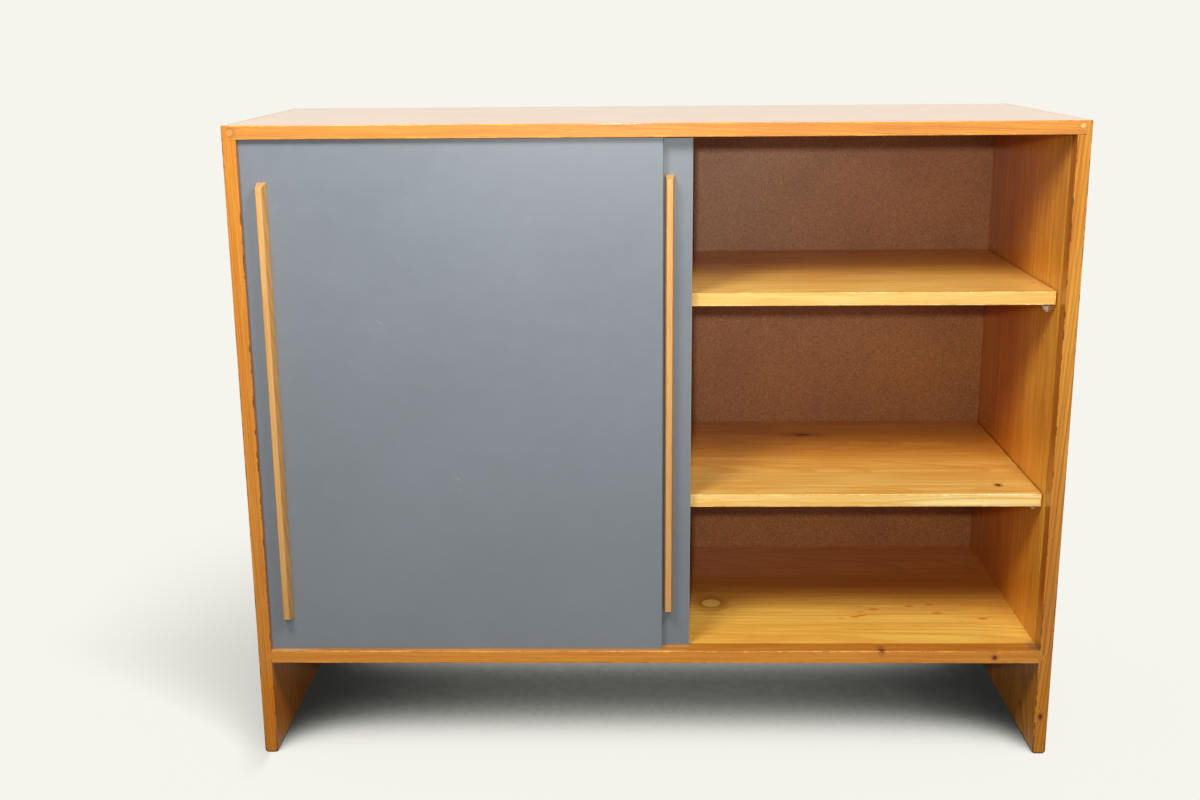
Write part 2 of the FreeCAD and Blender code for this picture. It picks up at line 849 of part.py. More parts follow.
def handle(label, hand, rise, x, y):
    """Slim bar that narrows from its base to its face, with sloped ends."""
    body = new_body(label)
    edge_y = "-(Sizes.handle_depth - Sizes.handle_arris)"
    face_x = "(Sizes.handle_face_width / 2 - Sizes.handle_arris)"
    section = [
        ("-Sizes.handle_base_width / 2", "0"),
        ("Sizes.handle_base_width / 2", "0"),
        ("Sizes.handle_face_width / 2", edge_y),
        (face_x, "-Sizes.handle_depth"),
        (f"-{face_x}", "-Sizes.handle_depth"),
        ("-Sizes.handle_face_width / 2", edge_y),
    ]
    profile = outline(body, "Section", "XY_Plane", section)
    pad(body, profile, "Places.handle_length", "Symmetric")
    for name, sign in (("UpperSlope", ""), ("LowerSlope", "-")):
        tip = f"{sign}Places.handle_length / 2"
        inner = f"{sign}(Places.handle_length / 2 - Sizes.handle_end_bevel)"
        corners = [("0", tip), ("-Sizes.handle_depth", tip), ("-Sizes.handle_depth", inner)]
        slope = outline(body, name, "YZ_Plane", corners)
        pocket(body, slope, "Sizes.handle_base_width", side="Symmetric")
    pilot = polygon(
        body,
        "Pilot",
        "XZ_Plane",
        ("0", "-Places.screw_span / 2"),
        "Sizes.screw_diameter / 2 + Sizes.fit_gap",
        "Sizes.screw_side_count",
    )
    depth = "Sizes.screw_length - Sizes.door_thickness + Sizes.joint_gap"
    drilled = pocket(body, pilot, depth, True)
    repeat(body, drilled, ("Z_Axis", "Sizes.screw_count", "Places.screw_spacing"))
    centre_x = f"{x} + {hand} * Places.handle_side"
    height = f"Places.door_bottom_z + {rise}"
    return place(body, centre_x, f"Places.carcass_front_y + {y}", height)


def screw_master():
    """Countersunk wood screw that points to the front; its zero is on top of its head."""
    body = new_body("screw_master")
    sides = "Sizes.screw_side_count"
    neck_y = "(Sizes.screw_diameter - Sizes.screw_head_diameter) / 2"
    shoulder_y = "Sizes.screw_point - Sizes.screw_length"
    stations = [
        ("Head", "Sizes.screw_head_diameter", "0"),
        ("Neck", "Sizes.screw_diameter", neck_y),
        ("Shoulder", "Sizes.screw_diameter", shoulder_y),
        ("Tip", "Sizes.screw_tip_diameter", "-Sizes.screw_length"),
    ]
    sections = [bar_section(body, name, width, sides, y) for name, width, y in stations]
    for first, second in zip(sections, sections[1:]):
        loft(body, f"{first.Name}Part", first, second)
    return body


def handle_screws(label, master, hand, rise, x, y):
    """Screws that pass through a door into its handle."""
    back = f"Places.carcass_front_y + {y} + Sizes.door_thickness"
    centre_x = f"{x} + {hand} * Places.handle_side"
    spots = [moved(centre_x, back, f"Places.door_bottom_z + {z}") for z in screw_heights(rise)]
    pieces.append(grouped(label, master, spots))


def check_document():
    """Stops before anything is written if a feature failed or a piece isn't sound."""
    doc.recompute()
    for item in doc.Objects:
        if "Invalid" in item.State or "Error" in item.State:
            raise RuntimeError(f"{item.Label} failed: {item.State}")
    for piece in pieces:
        shape = piece.Shape
        if shape.isNull() or not shape.isValid() or not shape.Solids:
            raise RuntimeError(f"{piece.Label} has no sound solid")


def write_pieces():
    os.makedirs("parts", exist_ok=True)
    for piece in pieces:
        piece.Shape.exportStep(f"parts/{piece.Label}.step")


side_panel("left_side_panel", 1, "Places.front_groove_y")
side_panel("right_side_panel", -1, "Places.rear_groove_y")
top_panel()
bottom_panel()
centre_partition()
back_panel()
back_panel_nails()

support = support_master()
for half, hand in (("left", -1), ("right", 1)):
    for level in ("lower", "upper"):
        stem_z = f"Places.{level}_stem_z"
        shelf(f"{half}_{level}_shelf", f"{hand} * Places.shelf_x", stem_z)
        shelf_supports(f"{half}_{level}_shelf_supports", support, hand, stem_z)

screw = screw_master()
for door, hand in (("front", -1), ("rear", 1)):
    spot = (hand, f"Places.{door}_handle_rise", f"Places.{door}_door_x", f"Places.{door}_door_y")
    door_panel(f"{door}_door_panel", *spot)
    handle(f"{door}_door_handle", *spot)
    handle_screws(f"{door}_handle_screws", screw, *spot)

check_document()
write_pieces()
print("pieces:", len(pieces))
print("rear door travel to closed:", value("Places.rear_door_travel"))
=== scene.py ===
"""Looks of a pine side cabinet with two sliding doors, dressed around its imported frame."""

import logging
import math
from dataclasses import dataclass, replace
from enum import Enum
from typing import Callable, Dict, List, Optional, Sequence, Tuple, Union

import bmesh
import bpy
from mathutils import Matrix, Vector


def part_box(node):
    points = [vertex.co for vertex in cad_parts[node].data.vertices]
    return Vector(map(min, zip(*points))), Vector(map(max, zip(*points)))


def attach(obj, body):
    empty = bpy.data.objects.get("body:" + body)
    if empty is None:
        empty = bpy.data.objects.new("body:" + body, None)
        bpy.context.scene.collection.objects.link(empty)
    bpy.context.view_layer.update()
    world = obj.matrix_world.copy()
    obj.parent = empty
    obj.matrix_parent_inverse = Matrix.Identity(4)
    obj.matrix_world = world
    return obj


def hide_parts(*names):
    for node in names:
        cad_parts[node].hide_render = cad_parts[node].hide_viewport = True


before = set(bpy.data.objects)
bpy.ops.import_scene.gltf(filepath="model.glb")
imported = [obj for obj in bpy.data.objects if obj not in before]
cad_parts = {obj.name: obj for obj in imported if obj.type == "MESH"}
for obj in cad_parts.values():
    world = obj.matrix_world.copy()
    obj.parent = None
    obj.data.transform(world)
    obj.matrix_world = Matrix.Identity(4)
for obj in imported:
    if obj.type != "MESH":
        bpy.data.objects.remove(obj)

log = logging.getLogger("side_cabinet")

Colour = Tuple[float, float, float]
Place = Tuple[float, float, float]
Pair = Tuple[float, float]
Mesh = bmesh.types.BMesh
Material = bpy.types.Material
Corners = Sequence[Vector]

MM = 0.001
TOUCH = 0.001 * MM
RETURNED = 0.75
SHARP_ANGLE = math.radians(38)
PLAIN = (1.0, 1.0, 1.0)


def paint(red: float, green: float, blue: float) -> Colour:
    """Turns a colour as a screen shows it, 0 to 255, into linear light, 0 to 1."""

    def linear(level: float) -> float:
        """One channel of the screens' standard curve, undone."""
        share = level / 255
        return share / 12.92 if share <= 0.04045 else ((share + 0.055) / 1.055) ** 2.4

    return linear(red), linear(green), linear(blue)


class Grain(Enum):
    """Which way the fibres of a board run."""

    LEVEL = "level"
    UPRIGHT = "upright"


def operator(operation: str, mirrored: bool = False) -> Callable[..., "Wire"]:
    """A method of a wire that adds a maths node; mirrored makes the wire its last term."""

    def method(wire: "Wire", *others: "Term") -> "Wire":
        """Adds the node and returns its result."""
        terms = (*others, wire) if mirrored else (wire, *others)
        return wire.bench.maths(operation, *terms)

    return method


class Wire:
    """The output of a node. Arithmetic on it adds Math or Vector Math nodes."""

    def __init__(self, bench: "Bench", socket: bpy.types.NodeSocket) -> None:
        """Keeps the socket and the bench that it belongs to."""
        self.bench = bench
        self.socket = socket

    @property
    def is_vector(self) -> bool:
        """True for a colour or a vector."""
        return self.socket.type in {"VECTOR", "RGBA"}

    def beside(self, output: Union[str, int]) -> "Wire":
        """Another output of the same node."""
        return Wire(self.bench, self.socket.node.outputs[output])

    def rise(self, low: "Term", high: "Term") -> "Wire":
        """A smooth step from 0 at low to 1 at high."""
        sockets = {0: self, 1: low, 2: high}
        return self.bench.node("MapRange", sockets, {"interpolation_type": "SMOOTHSTEP"})

    def fall(self, low: "Term", high: "Term") -> "Wire":
        """A smooth step from 1 at low to 0 at high."""
        return 1 - self.rise(low, high)

    def chances(self) -> "Wires":
        """Three values from 0 to 1 that jump with each whole number."""
        settings = {"noise_dimensions": "1D"}
        return self.bench.parts(self.bench.node("TexWhiteNoise", {"W": self}, settings, "Color"))

    __add__, __radd__ = operator("ADD"), operator("ADD", mirrored=True)
    __sub__, __rsub__ = operator("SUBTRACT"), operator("SUBTRACT", mirrored=True)
    __mul__, __rmul__ = operator("MULTIPLY"), operator("MULTIPLY", mirrored=True)
    __truediv__ = operator("DIVIDE")
    __abs__ = operator("ABSOLUTE")
    floor = operator("FLOOR")
    fraction = operator("FRACT")
    root = operator("SQRT")
    least = operator("MINIMUM")
    most = operator("MAXIMUM")


Term = Union[Wire, float, Colour]
Wires = Tuple[Wire, Wire, Wire]


class Bench:
    """The node tree of one material or of the world, on which finishes are mixed."""

    def __init__(self, tree: bpy.types.NodeTree) -> None:
        """Empties the tree."""
        self.tree = tree
        tree.nodes.clear()

    @classmethod
    def for_material(cls, name: str) -> Tuple["Bench", Material]:
        """Makes a material of that name, and its bench."""
        material = bpy.data.materials.new(name)
        material.use_nodes = True
        return cls(material.node_tree), material

    def node(
        self,
        kind: str,
        sockets: Optional[Dict[Union[str, int], Term]] = None,
        settings: Optional[Dict[str, object]] = None,
        output: Union[str, int] = 0,
    ) -> Wire:
        """Adds a node.

        Args:
            kind: Blender's type of the node, less its first word.
            sockets: Values or links of its inputs, by name or number.
            settings: Its properties; "stops" gives the places and colours of a ramp.
            output: The output to go on with, by name or number.

        Returns:
            That output.
        """
        made = self.tree.nodes.new(f"ShaderNode{kind}")
        for name, setting in (settings or {}).items():
            if name == "stops":
                self._set_stops(made, setting)
            else:
                setattr(made, name, setting)
        for name, term in (sockets or {}).items():
            self._feed(made.inputs[name], term)
        return Wire(self, made.outputs[output])

    @staticmethod
    def _set_stops(made: bpy.types.Node, stops: Sequence[Tuple[float, Colour]]) -> None:
        """Gives a ramp its stops."""
        elements = made.color_ramp.elements
        while len(elements) < len(stops):
            elements.new(1)
        for element, (place, colour) in zip(elements, stops):
            element.position = place
            element.color = (*colour, 1)

    def _feed(self, socket: bpy.types.NodeSocket, term: Term) -> None:
        """Links an input, or sets its value."""
        if isinstance(term, Wire):
            self.tree.links.new(term.socket, socket)
        elif isinstance(term, (int, float)) and socket.type == "VECTOR":
            socket.default_value = (term, term, term)
        elif isinstance(term, tuple) and socket.type == "RGBA":
            socket.default_value = (*term, 1)
        else:
            socket.default_value = term

    def maths(self, operation: str, *terms: Term) -> Wire:
        """Adds a Math node, or a Vector Math node where a term is a colour or a vector."""
        vector = any(isinstance(t, tuple) or (isinstance(t, Wire) and t.is_vector) for t in terms)
        kind = "VectorMath" if vector else "Math"
        return self.node(kind, dict(enumerate(terms)), {"operation": operation})

    def blend(self, first: Term, second: Term, share: Term) -> Wire:
        """Mixes two colours: share 0 gives the first, 1 the second."""
        sockets = {0: share, 6: first, 7: second}
        return self.node("Mix", sockets, {"data_type": "RGBA"}, 2)

    def layered(self, colour: Term, *layers: Tuple[Term, Term]) -> Wire:
        """Lays colours over the first one, each given with its share."""
        for tone, share in layers:
            colour = self.blend(colour, tone, share)
        return colour

    def vector(self, x: Term, y: Term, z: Term) -> Wire:
        """Joins three values."""
        return self.node("CombineXYZ", {0: x, 1: y, 2: z})

    def parts(self, vector: Wire) -> Wires:
        """Takes a vector or colour apart."""
        first = self.node("SeparateXYZ", {0: vector})
        return first, first.beside(1), first.beside(2)

    def point(self) -> Wires:
        """The point in the piece's own frame, in metres."""
        return self.parts(self.node("TexCoord", output="Object"))

    def noise(self, x: Term, y: Term, z: Term, detail: float = 2, roughness: float = 0.5) -> Wire:
        """Cloudy values round 0.5, one wave to a unit of each direction."""
        sockets = {"Vector": self.vector(x, y, z), "Detail": detail, "Roughness": roughness}
        return self.node("TexNoise", {**sockets, "Scale": 1}, output="Fac")

    def grit(self, point: Wires, waves: float, detail: float = 2, roughness: float = 0.5) -> Wire:
        """Cloudy values round 0.5, with that many waves to a metre in every direction."""
        x, y, z = point
        return self.noise(x * waves, y * waves, z * waves, detail, roughness)

    def specks(self, x: Term, y: Term, z: Term) -> Tuple[Wire, Wire]:
        """Scattered points: the distance to the nearest one and a number of its own."""
        sockets = {"Vector": self.vector(x, y, z), "Scale": 1}
        near = self.node("TexVoronoi", sockets, output="Distance")
        return near, self.parts(near.beside("Color"))[0]

    def bump(self, height: Wire, distance: float) -> Wire:
        """A surface raised by height times distance, in metres."""
        return self.node("Bump", {"Height": height, "Distance": distance, "Strength": 1})

    def surface(self, sockets: Dict[str, Term]) -> None:
        """Ends the tree with one principled surface, which returns a share of its base colour."""
        returned = {**sockets, "Base Color": sockets["Base Color"] * RETURNED}
        self.end("OutputMaterial", self.node("BsdfPrincipled", returned))

    def end(self, kind: str, shader: Wire) -> None:
        """Feeds a shader to the output of a material or of the world."""
        made = self.tree.nodes.new(f"ShaderNode{kind}")
        self.tree.links.new(shader.socket, made.inputs["Surface"])


@dataclass(frozen=True)
class Box:
    """A box in the row frame, in metres."""

    low: Place
    high: Place

    @classmethod
    def of(cls, node: str) -> "Box":
        """The box of a node of the frame."""
        low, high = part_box(node)
        return cls(tuple(low), tuple(high))

    def centre(self, axis: int) -> float:
        """Middle along one axis."""
        return (self.low[axis] + self.high[axis]) / 2

    def size(self, axis: int) -> float:
        """Length along one axis."""
        return self.high[axis] - self.low[axis]


@dataclass(frozen=True)
class Finish:
    """What covers a piece."""

    name: str

    def material(self) -> Material:
        """Mixes the finish on a new material and returns it."""
        bench, material = Bench.for_material(self.name)
        bench.surface(self.mixed(bench, bench.point()))
        return material

    def mixed(self, bench: Bench, point: Wires) -> Dict[str, Term]:
        """Inputs of the surface at a point."""
        raise NotImplementedError


@dataclass(frozen=True)
class Spot:
    """A knot, plug or stain: an oval place in the wood with a core and a ring round it."""

    centre: Place
    radii: Place
    core: Colour = paint(96, 44, 14)
    ring: Colour = paint(170, 84, 20)
    core_share: float = 1.0
    ring_share: float = 0.6
    softness: float = 0.3
    crowding: float = 1.0

    @classmethod
    def stain(cls, centre: Place, radii: Place, core: Colour, core_share: float) -> "Spot":
        """A soft mark on the wood, with no ring and nothing crowded aside."""
        mark = cls(centre, radii, core, core_share=core_share)
        return replace(mark, ring_share=0.0, softness=0.9, crowding=0.0)


@dataclass(frozen=True)
class Shelter:
    """The room behind the doors, whose wood has kept another tone, darkened toward the back as
    painted shade, and the strip before it.
    """

    half_width: float = 532.3 * MM
    front: float = -177.6 * MM
    bottom: float = 154.7 * MM
    top: float = 857.2 * MM
    edge: float = 0.5 * MM
    painted_shade_starts: float = -0.13
    painted_shade_full: float = 0.1


@dataclass(frozen=True)
class Streaks:
    """A pattern stretched along the fibres: its waves to a metre along and across them."""

    along: float
    across: float
    detail: float = 2
    roughness: float = 0.5

    def drawn(self, fibres: Wires) -> Wire:
        """The pattern, from places along, across and through the board."""
        along, across, through = fibres
        crossing = (across * self.across, through * self.across)
        return along.bench.noise(along * self.along, *crossing, self.detail, self.roughness)


@dataclass(frozen=True)
class Wood(Finish):
    """Softwood with growth rings, staves, knots, worn arrises and a clear coat."""

    grain: Grain
    board: Box
    seed: float
    early: Colour
    late: Colour
    deep: Colour
    sheltered: Colour = PLAIN
    # Painted shade: a tint that darkens the wood behind the doors toward the back.
    rear: Colour = PLAIN
    strip: Colour = PLAIN
    foot: Colour = PLAIN
    # Painted light: a tint that makes the board's front face paler.
    face: Colour = PLAIN
    resin_tone: Colour = paint(190, 92, 10)
    rubbed_tone: Colour = (1.35, 1.5, 2.4)
    dirt_tone: Colour = paint(60, 30, 12)
    foot_height: float = 0.5
    calm: float = 0.0
    ring_width: float = 3.4 * MM
    stave_width: float = 98 * MM
    heart_depth: float = 46 * MM
    slant: float = 0.02
    contrast: float = 0.75
    blotches: float = 0.5
    coat: float = 0.8
    coat_roughness: float = 0.14
    coat_index: float = 1.35
    rubbed: float = 0.5
    dirty: float = 0.5
    spots: Tuple[Spot, ...] = ()
    stray_knots: float = 0.12
    resin: Optional[Box] = None
    resin_fade: float = 12 * MM
    shelter: Shelter = Shelter()
    fibre: Streaks = Streaks(9, 700, 3, 0.65)
    cloud: Streaks = Streaks(2.6, 15, 4, 0.6)
    streak: Streaks = Streaks(5, 150, 3, 0.6)
    canal: Streaks = Streaks(45, 900, 1)
    ripple: Streaks = Streaks(7, 22)

    def mixed(self, bench: Bench, point: Wires) -> Dict[str, Term]:
        """Inputs of the surface at a point."""
        x, y, z = point
        along, across, through = (z, y, x) if self.grain is Grain.UPRIGHT else point
        fibres = (along + self.seed, across, through)
        placed = [(spot, self._reach(bench, spot, point)) for spot in self.spots]
        halo, core = self._stray_knots(bench, fibres)
        push = halo
        for spot, reach in placed:
            push = push.most(reach.fall(0.9, 3.4) * spot.crowding)
        ring, stave_tone = self._rings(bench, fibres, push)
        late = self._late_wood(ring)
        fibre = self.fibre.drawn(fibres)
        inner = self._inside(x, z)
        cloudy = self.cloud.drawn(fibres).rise(0.4, 0.72)
        streaky = self.streak.drawn(fibres).rise(0.42, 0.64)
        canals = self.canal.drawn(fibres).rise(0.66, 0.76)
        colour = bench.layered(
            self.early,
            (self.late, late * (self.contrast * (1 - inner * self.calm))),
            (self.deep, cloudy * self.blotches),
            (self.deep, streaky * self.blotches),
            (self.late, canals * 0.5),
        )
        colour = colour * (0.92 + 0.16 * stave_tone) * (0.8 + 0.4 * fibre)
        colour = bench.layered(colour, (Spot.ring, halo * 0.5), (Spot.core, core))
        if self.resin is not None:
            colour = bench.blend(colour, self.resin_tone, self._resin(bench, x, y))
        colour = self._tones_and_painted_light(bench, colour, inner, y, z)
        worn, dirt = self._arrises(bench, point)
        colour = bench.blend(colour, colour * self.rubbed_tone, worn * self.rubbed)
        colour = bench.blend(colour, self.dirt_tone, dirt * self.dirty)
        for spot, reach in placed:
            ringed = reach.fall(0.9, 2.4) * spot.ring_share
            cored = reach.fall(1 - spot.softness, 1 + 0.5 * spot.softness) * spot.core_share
            colour = bench.layered(colour, (spot.ring, ringed), (spot.core, cored))
        dent = bench.grit(point, waves=60, detail=3).rise(0.7, 0.76)
        height = late * 0.35 + fibre * 0.6 - dent * 1.2 - dirt * 0.8
        dull = bench.grit(point, waves=14, detail=3)
        left_on_feet = 0.3 + 0.7 * z.rise(0.1, 0.14)
        return {
            "Base Color": colour,
            "Roughness": 0.42 + 0.22 * dull - 0.05 * late,
            "Normal": bench.bump(height, 0.1 * MM),
            "Coat Weight": self.coat * (1 - worn * 0.5) * left_on_feet,
            "Coat Roughness": self.coat_roughness,
            "Coat IOR": self.coat_index,
            "Specular IOR Level": 0.18,
        }

    def _rings(self, bench: Bench, fibres: Wires, push: Wire) -> Tuple[Wire, Wire]:
        """Counts growth rings from the heart of each stave's tree.

        Args:
            bench: Where the nodes go.
            fibres: Places along, across and through the board.
            push: How far a knot crowds the rings aside, 0 to 1.

        Returns:
            The ring number, and a tone of the stave from 0 to 1.
        """
        along, across, through = fibres
        shift = 0.37 * self.seed
        stave = (across / self.stave_width + shift).floor()
        first, second, third = (stave + 3.1 * self.seed).chances()
        middle = (stave + (0.5 - shift)) * self.stave_width
        sway = bench.noise(along * 1.7, stave * 5.3, self.seed) - 0.5
        ripple = self.ripple.drawn(fibres) - 0.5
        side = across - middle + (first - 0.5) * (0.9 * self.stave_width) + sway * (26 * MM)
        lean = along * ((third - 0.5) * 0.06 + self.slant)
        depth = self.heart_depth * (0.5 + second) + lean
        thickness_axis = 0 if self.grain is Grain.UPRIGHT else 2
        rear = through - self.board.centre(thickness_axis) + depth + sway * (18 * MM)
        distance = (side * side + rear * rear).root() + ripple * (2.2 * MM) + push * (5 * MM)
        ring = distance / self.ring_width
        uneven = bench.noise(ring * 0.4, stave, self.seed, 1) * 2.4
        return ring + uneven, third

    def _late_wood(self, ring: Wire) -> Wire:
        """The dark end of each ring, stronger in some rings than in others."""
        share = ring.fraction()
        line = share.rise(0.3, 0.9) * share.fall(0.92, 1.0)
        strength, _, _ = ring.floor().chances()
        return line * (0.4 + 0.6 * strength)

    def _reach(self, bench: Bench, spot: Spot, point: Wires) -> Wire:
        """Distance from a spot's centre, 1 on its rim, a little ragged."""
        total = 0
        for place, middle, radius in zip(point, spot.centre, spot.radii):
            offset = (place - middle) / radius
            total = offset * offset + total
        return total.root() + (bench.grit(point, waves=240) - 0.5) * spot.softness

    def _stray_knots(self, bench: Bench, fibres: Wires) -> Tuple[Wire, Wire]:
        """Small knots scattered over the board: masks of their halos and cores."""
        along, across, _ = fibres
        near, number = bench.specks(along * 3.1, across * 8.5, self.seed)
        reach = near + (bench.noise(along * 120, across * 120, 0) - 0.5) * 0.03
        shown = number.fall(self.stray_knots, self.stray_knots + 0.01)
        return reach.fall(0.04, 0.18) * shown, reach.fall(0.03, 0.05) * shown

    def _resin(self, bench: Bench, x: Wire, y: Wire) -> Wire:
        """Short resin flecks inside one stretch of the board's upper face."""
        near, number = bench.specks(x * 34, y * 75, self.seed)
        mask = near.fall(0.18, 0.34) * number.fall(0.5, 0.52)
        for place, low, high in zip((x, y), self.resin.low, self.resin.high):
            mask = mask * place.rise(low - self.resin_fade, low)
            mask = mask * place.fall(high, high + self.resin_fade)
        return mask

    def _inside(self, x: Wire, z: Wire) -> Wire:
        """1 between the inner faces of the sides, the top and the bottom."""
        shelter = self.shelter
        level = abs(x).fall(shelter.half_width, shelter.half_width + shelter.edge)
        upper = z.fall(shelter.top, shelter.top + shelter.edge)
        return level * upper * z.rise(shelter.bottom - shelter.edge, shelter.bottom)

    def _tones_and_painted_light(self, bench: Bench, colour: Wire, inner: Wire, y: Wire, z: Wire) -> Wire:
        """Tones of the wood behind the doors and before them, at the front and at the feet; the
        darkening toward the back is painted shade, the paler front face painted light.
        """
        shelter = self.shelter
        rear = y.rise(shelter.front - 2 * shelter.edge, shelter.front + 2 * shelter.edge)
        tone = bench.blend(self.strip, self.sheltered, rear)
        colour = colour * bench.blend(PLAIN, tone, inner)
        # Painted shade: the inside darkens toward the back.
        depth = y.rise(shelter.painted_shade_starts, shelter.painted_shade_full)
        colour = colour * bench.blend(PLAIN, self.rear, inner * depth)
        # Painted light: the front face takes the paler face tint.
        front = self.board.low[1]
        behind_face = y.rise(front + 0.2 * MM, front + 0.9 * MM)
        colour = colour * bench.blend(self.face, PLAIN, behind_face)
        return colour * bench.blend(self.foot, PLAIN, z.rise(0.0, self.foot_height))

    def _arrises(self, bench: Bench, point: Wires) -> Tuple[Wire, Wire]:
        """Masks of the rubbed and of the dirty stretches of the board's corners."""
        x, y, z = point
        sides = zip(point, self.board.low, self.board.high)
        gaps = [(place - low).least(high - place) for place, low, high in sides]
        second = gaps[0].least(gaps[1]).most(gaps[0].most(gaps[1]).least(gaps[2]))
        patches = bench.grit(point, waves=26, detail=4, roughness=0.65)
        ragged = second + (bench.grit(point, waves=300) - 0.5) * (2 * MM)
        nicks = bench.noise(x * 70 + 5, y * 70, z * 70, 3, 0.6)
        rubbed = ragged.fall(1.2 * MM, 2.6 * MM) * patches.rise(0.5, 0.6)
        dirty = ragged.fall(0.6 * MM, 1.8 * MM) * nicks.rise(0.51, 0.6)
        grime_on_feet = (ragged + z * 0.05).fall(1.2 * MM, 3.2 * MM) * 0.9
        return rubbed, dirty.most(grime_on_feet * nicks.rise(0.36, 0.5))


@dataclass(frozen=True)
class Hardboard(Finish):
    """Pressed brown fibreboard with short pale fibres."""

    name: str = "hardboard"
    brown: Colour = paint(176, 110, 42)
    dark: Colour = paint(134, 78, 30)
    fleck: Colour = paint(204, 160, 104)

    def mixed(self, bench: Bench, point: Wires) -> Dict[str, Term]:
        """Inputs of the surface at a point."""
        x, y, z = point
        cloud = bench.noise(x * 9, y, z * 9, 4, 0.6)
        fibre = bench.noise(x * 430, y * 300, z * 380, 3, 0.75)
        shred = bench.noise(x * 260, y * 90, z * 480)
        colour = bench.layered(
            self.brown,
            (self.dark, cloud.rise(0.3, 0.75) * 0.5),
            (self.dark, fibre.fall(0.36, 0.5)),
            (self.fleck, fibre.rise(0.54, 0.7) * 0.55),
            (self.fleck, shred.rise(0.66, 0.74) * 0.6),
        )
        return {
            "Base Color": colour,
            "Roughness": 0.36 + 0.2 * cloud,
            "Normal": bench.bump(fibre, 0.12 * MM),
            "Specular IOR Level": 0.55,
        }


@dataclass(frozen=True)
class Chip:
    """A spot where paint has come off, by its place on the door's face."""

    x: float
    z: float
    half_width: float
    half_height: float


@dataclass(frozen=True)
class PaintedPlywood(Finish):
    """Thin plywood under grey satin paint, a little scratched and chipped at its corners."""

    panel: Box
    seed: float
    grey: Colour
    pale: Colour = paint(123, 130, 137)
    bare: Colour = paint(222, 205, 170)
    worn: Colour = paint(196, 204, 206)
    chips: Tuple[Chip, ...] = ()
    rubbed_edge: Optional[Pair] = None
    edge_from: float = 1.2 * MM
    edge_full: float = 0.7 * MM
    dash_fade: float = 4 * MM

    def mixed(self, bench: Bench, point: Wires) -> Dict[str, Term]:
        """Inputs of the surface at a point."""
        x, y, z = point
        cloud = bench.noise(x * 5 + self.seed, y, z * 5, 4, 0.55)
        mottle = bench.noise(x * 46 + self.seed, y, z * 46, 3, 0.6)
        colour = bench.blend(self.grey, self.pale, cloud.rise(0.35, 0.7) * 0.6)
        grit = bench.noise(x * 380 + self.seed, y, z * 380, 2, 0.7)
        wiped = bench.noise(x * 22 + z * 9, self.seed, z * 3, 3, 0.6)
        colour = colour * (0.93 + 0.07 * mottle + 0.05 * grit + 0.03 * wiped)
        scratches = self._scratches(bench, x, z) * 0.35
        bare = self._chips(bench, x, z)
        near, own = bench.specks(x * 24, self.seed, z * 24)
        speck = near.fall(0.012, 0.02) * own.rise(0.8, 0.82)
        layers = ((self.worn, scratches), (self.worn, speck * 0.8), (self.bare, bare))
        peel = bench.grit(point, waves=330)
        brush = bench.noise(x * 500, y, z * 6 + self.seed)
        return {
            "Base Color": bench.layered(colour, *layers),
            "Roughness": 0.34 + 0.12 * mottle + 0.25 * bare,
            "Normal": bench.bump(peel * 0.5 + brush * 0.3 - bare * 2, 0.08 * MM),
            "Specular IOR Level": 0.5,
        }

    def _scratches(self, bench: Bench, x: Wire, z: Wire) -> Wire:
        """A mask of fine scratches: the middle line of a cloudy pattern, in a few patches."""
        thread = bench.noise(x * 34 + z * 70, self.seed, z * 11 - x * 4)
        line = thread.rise(0.498, 0.5) * thread.fall(0.5, 0.502)
        patches = bench.noise(x * 7, self.seed + 4, z * 7)
        return line * patches.rise(0.56, 0.66)

    def _chips(self, bench: Bench, x: Wire, z: Wire) -> Wire:
        """A mask of bare wood: chips at their places, and dashes along one rubbed edge."""
        ragged = (bench.noise(x * 240 + self.seed, z * 240, 0, 3) - 0.5) * 1.6
        bare = bench.noise(x * 90 + self.seed, z * 90, 3, 3).rise(0.775, 0.79)
        for chip in self.chips:
            level = (x - chip.x) / chip.half_width
            height = (z - chip.z) / chip.half_height
            reach = (level * level + height * height).root() + ragged
            bare = bare.most(reach.fall(0.9, 1.05))
        if self.rubbed_edge is not None:
            low, high = self.rubbed_edge
            side = self.panel.high[0]
            edge = x.rise(side - self.edge_from, side - self.edge_full)
            dashes = bench.noise(z * 60, self.seed, 0).rise(0.6, 0.62)
            above = z.rise(low, low + self.dash_fade)
            length = above * z.fall(high - self.dash_fade, high)
            bare = bare.most(edge * (0.25 + 0.75 * dashes * length))
        return bare


@dataclass(frozen=True)
class SupportPlastic(Finish):
    """Ivory plastic of the shelf supports."""

    name: str = "support_plastic"
    ivory: Colour = paint(226, 220, 192)
    yellowed: Colour = paint(196, 184, 146)

    def mixed(self, bench: Bench, point: Wires) -> Dict[str, Term]:
        """Inputs of the surface at a point."""
        cloud = bench.grit(point, waves=200)
        return {
            "Base Color": bench.blend(self.ivory, self.yellowed, cloud.rise(0.4, 0.8)),
            "Roughness": 0.36 + 0.1 * cloud,
            "Specular IOR Level": 0.5,
        }


@dataclass(frozen=True)
class Steel(Finish):
    """Plain steel of the nails and screws, a little dulled."""

    name: str = "steel"
    grey: Colour = paint(168, 164, 158)
    rusty: Colour = paint(112, 72, 44)

    def mixed(self, bench: Bench, point: Wires) -> Dict[str, Term]:
        """Inputs of the surface at a point."""
        cloud = bench.grit(point, waves=500, detail=3)
        rust = bench.grit(point, waves=900).rise(0.6, 0.72)
        return {
            "Base Color": bench.blend(self.grey, self.rusty, rust * 0.7),
            "Metallic": 1 - rust * 0.8,
            "Roughness": 0.3 + 0.25 * cloud,
        }


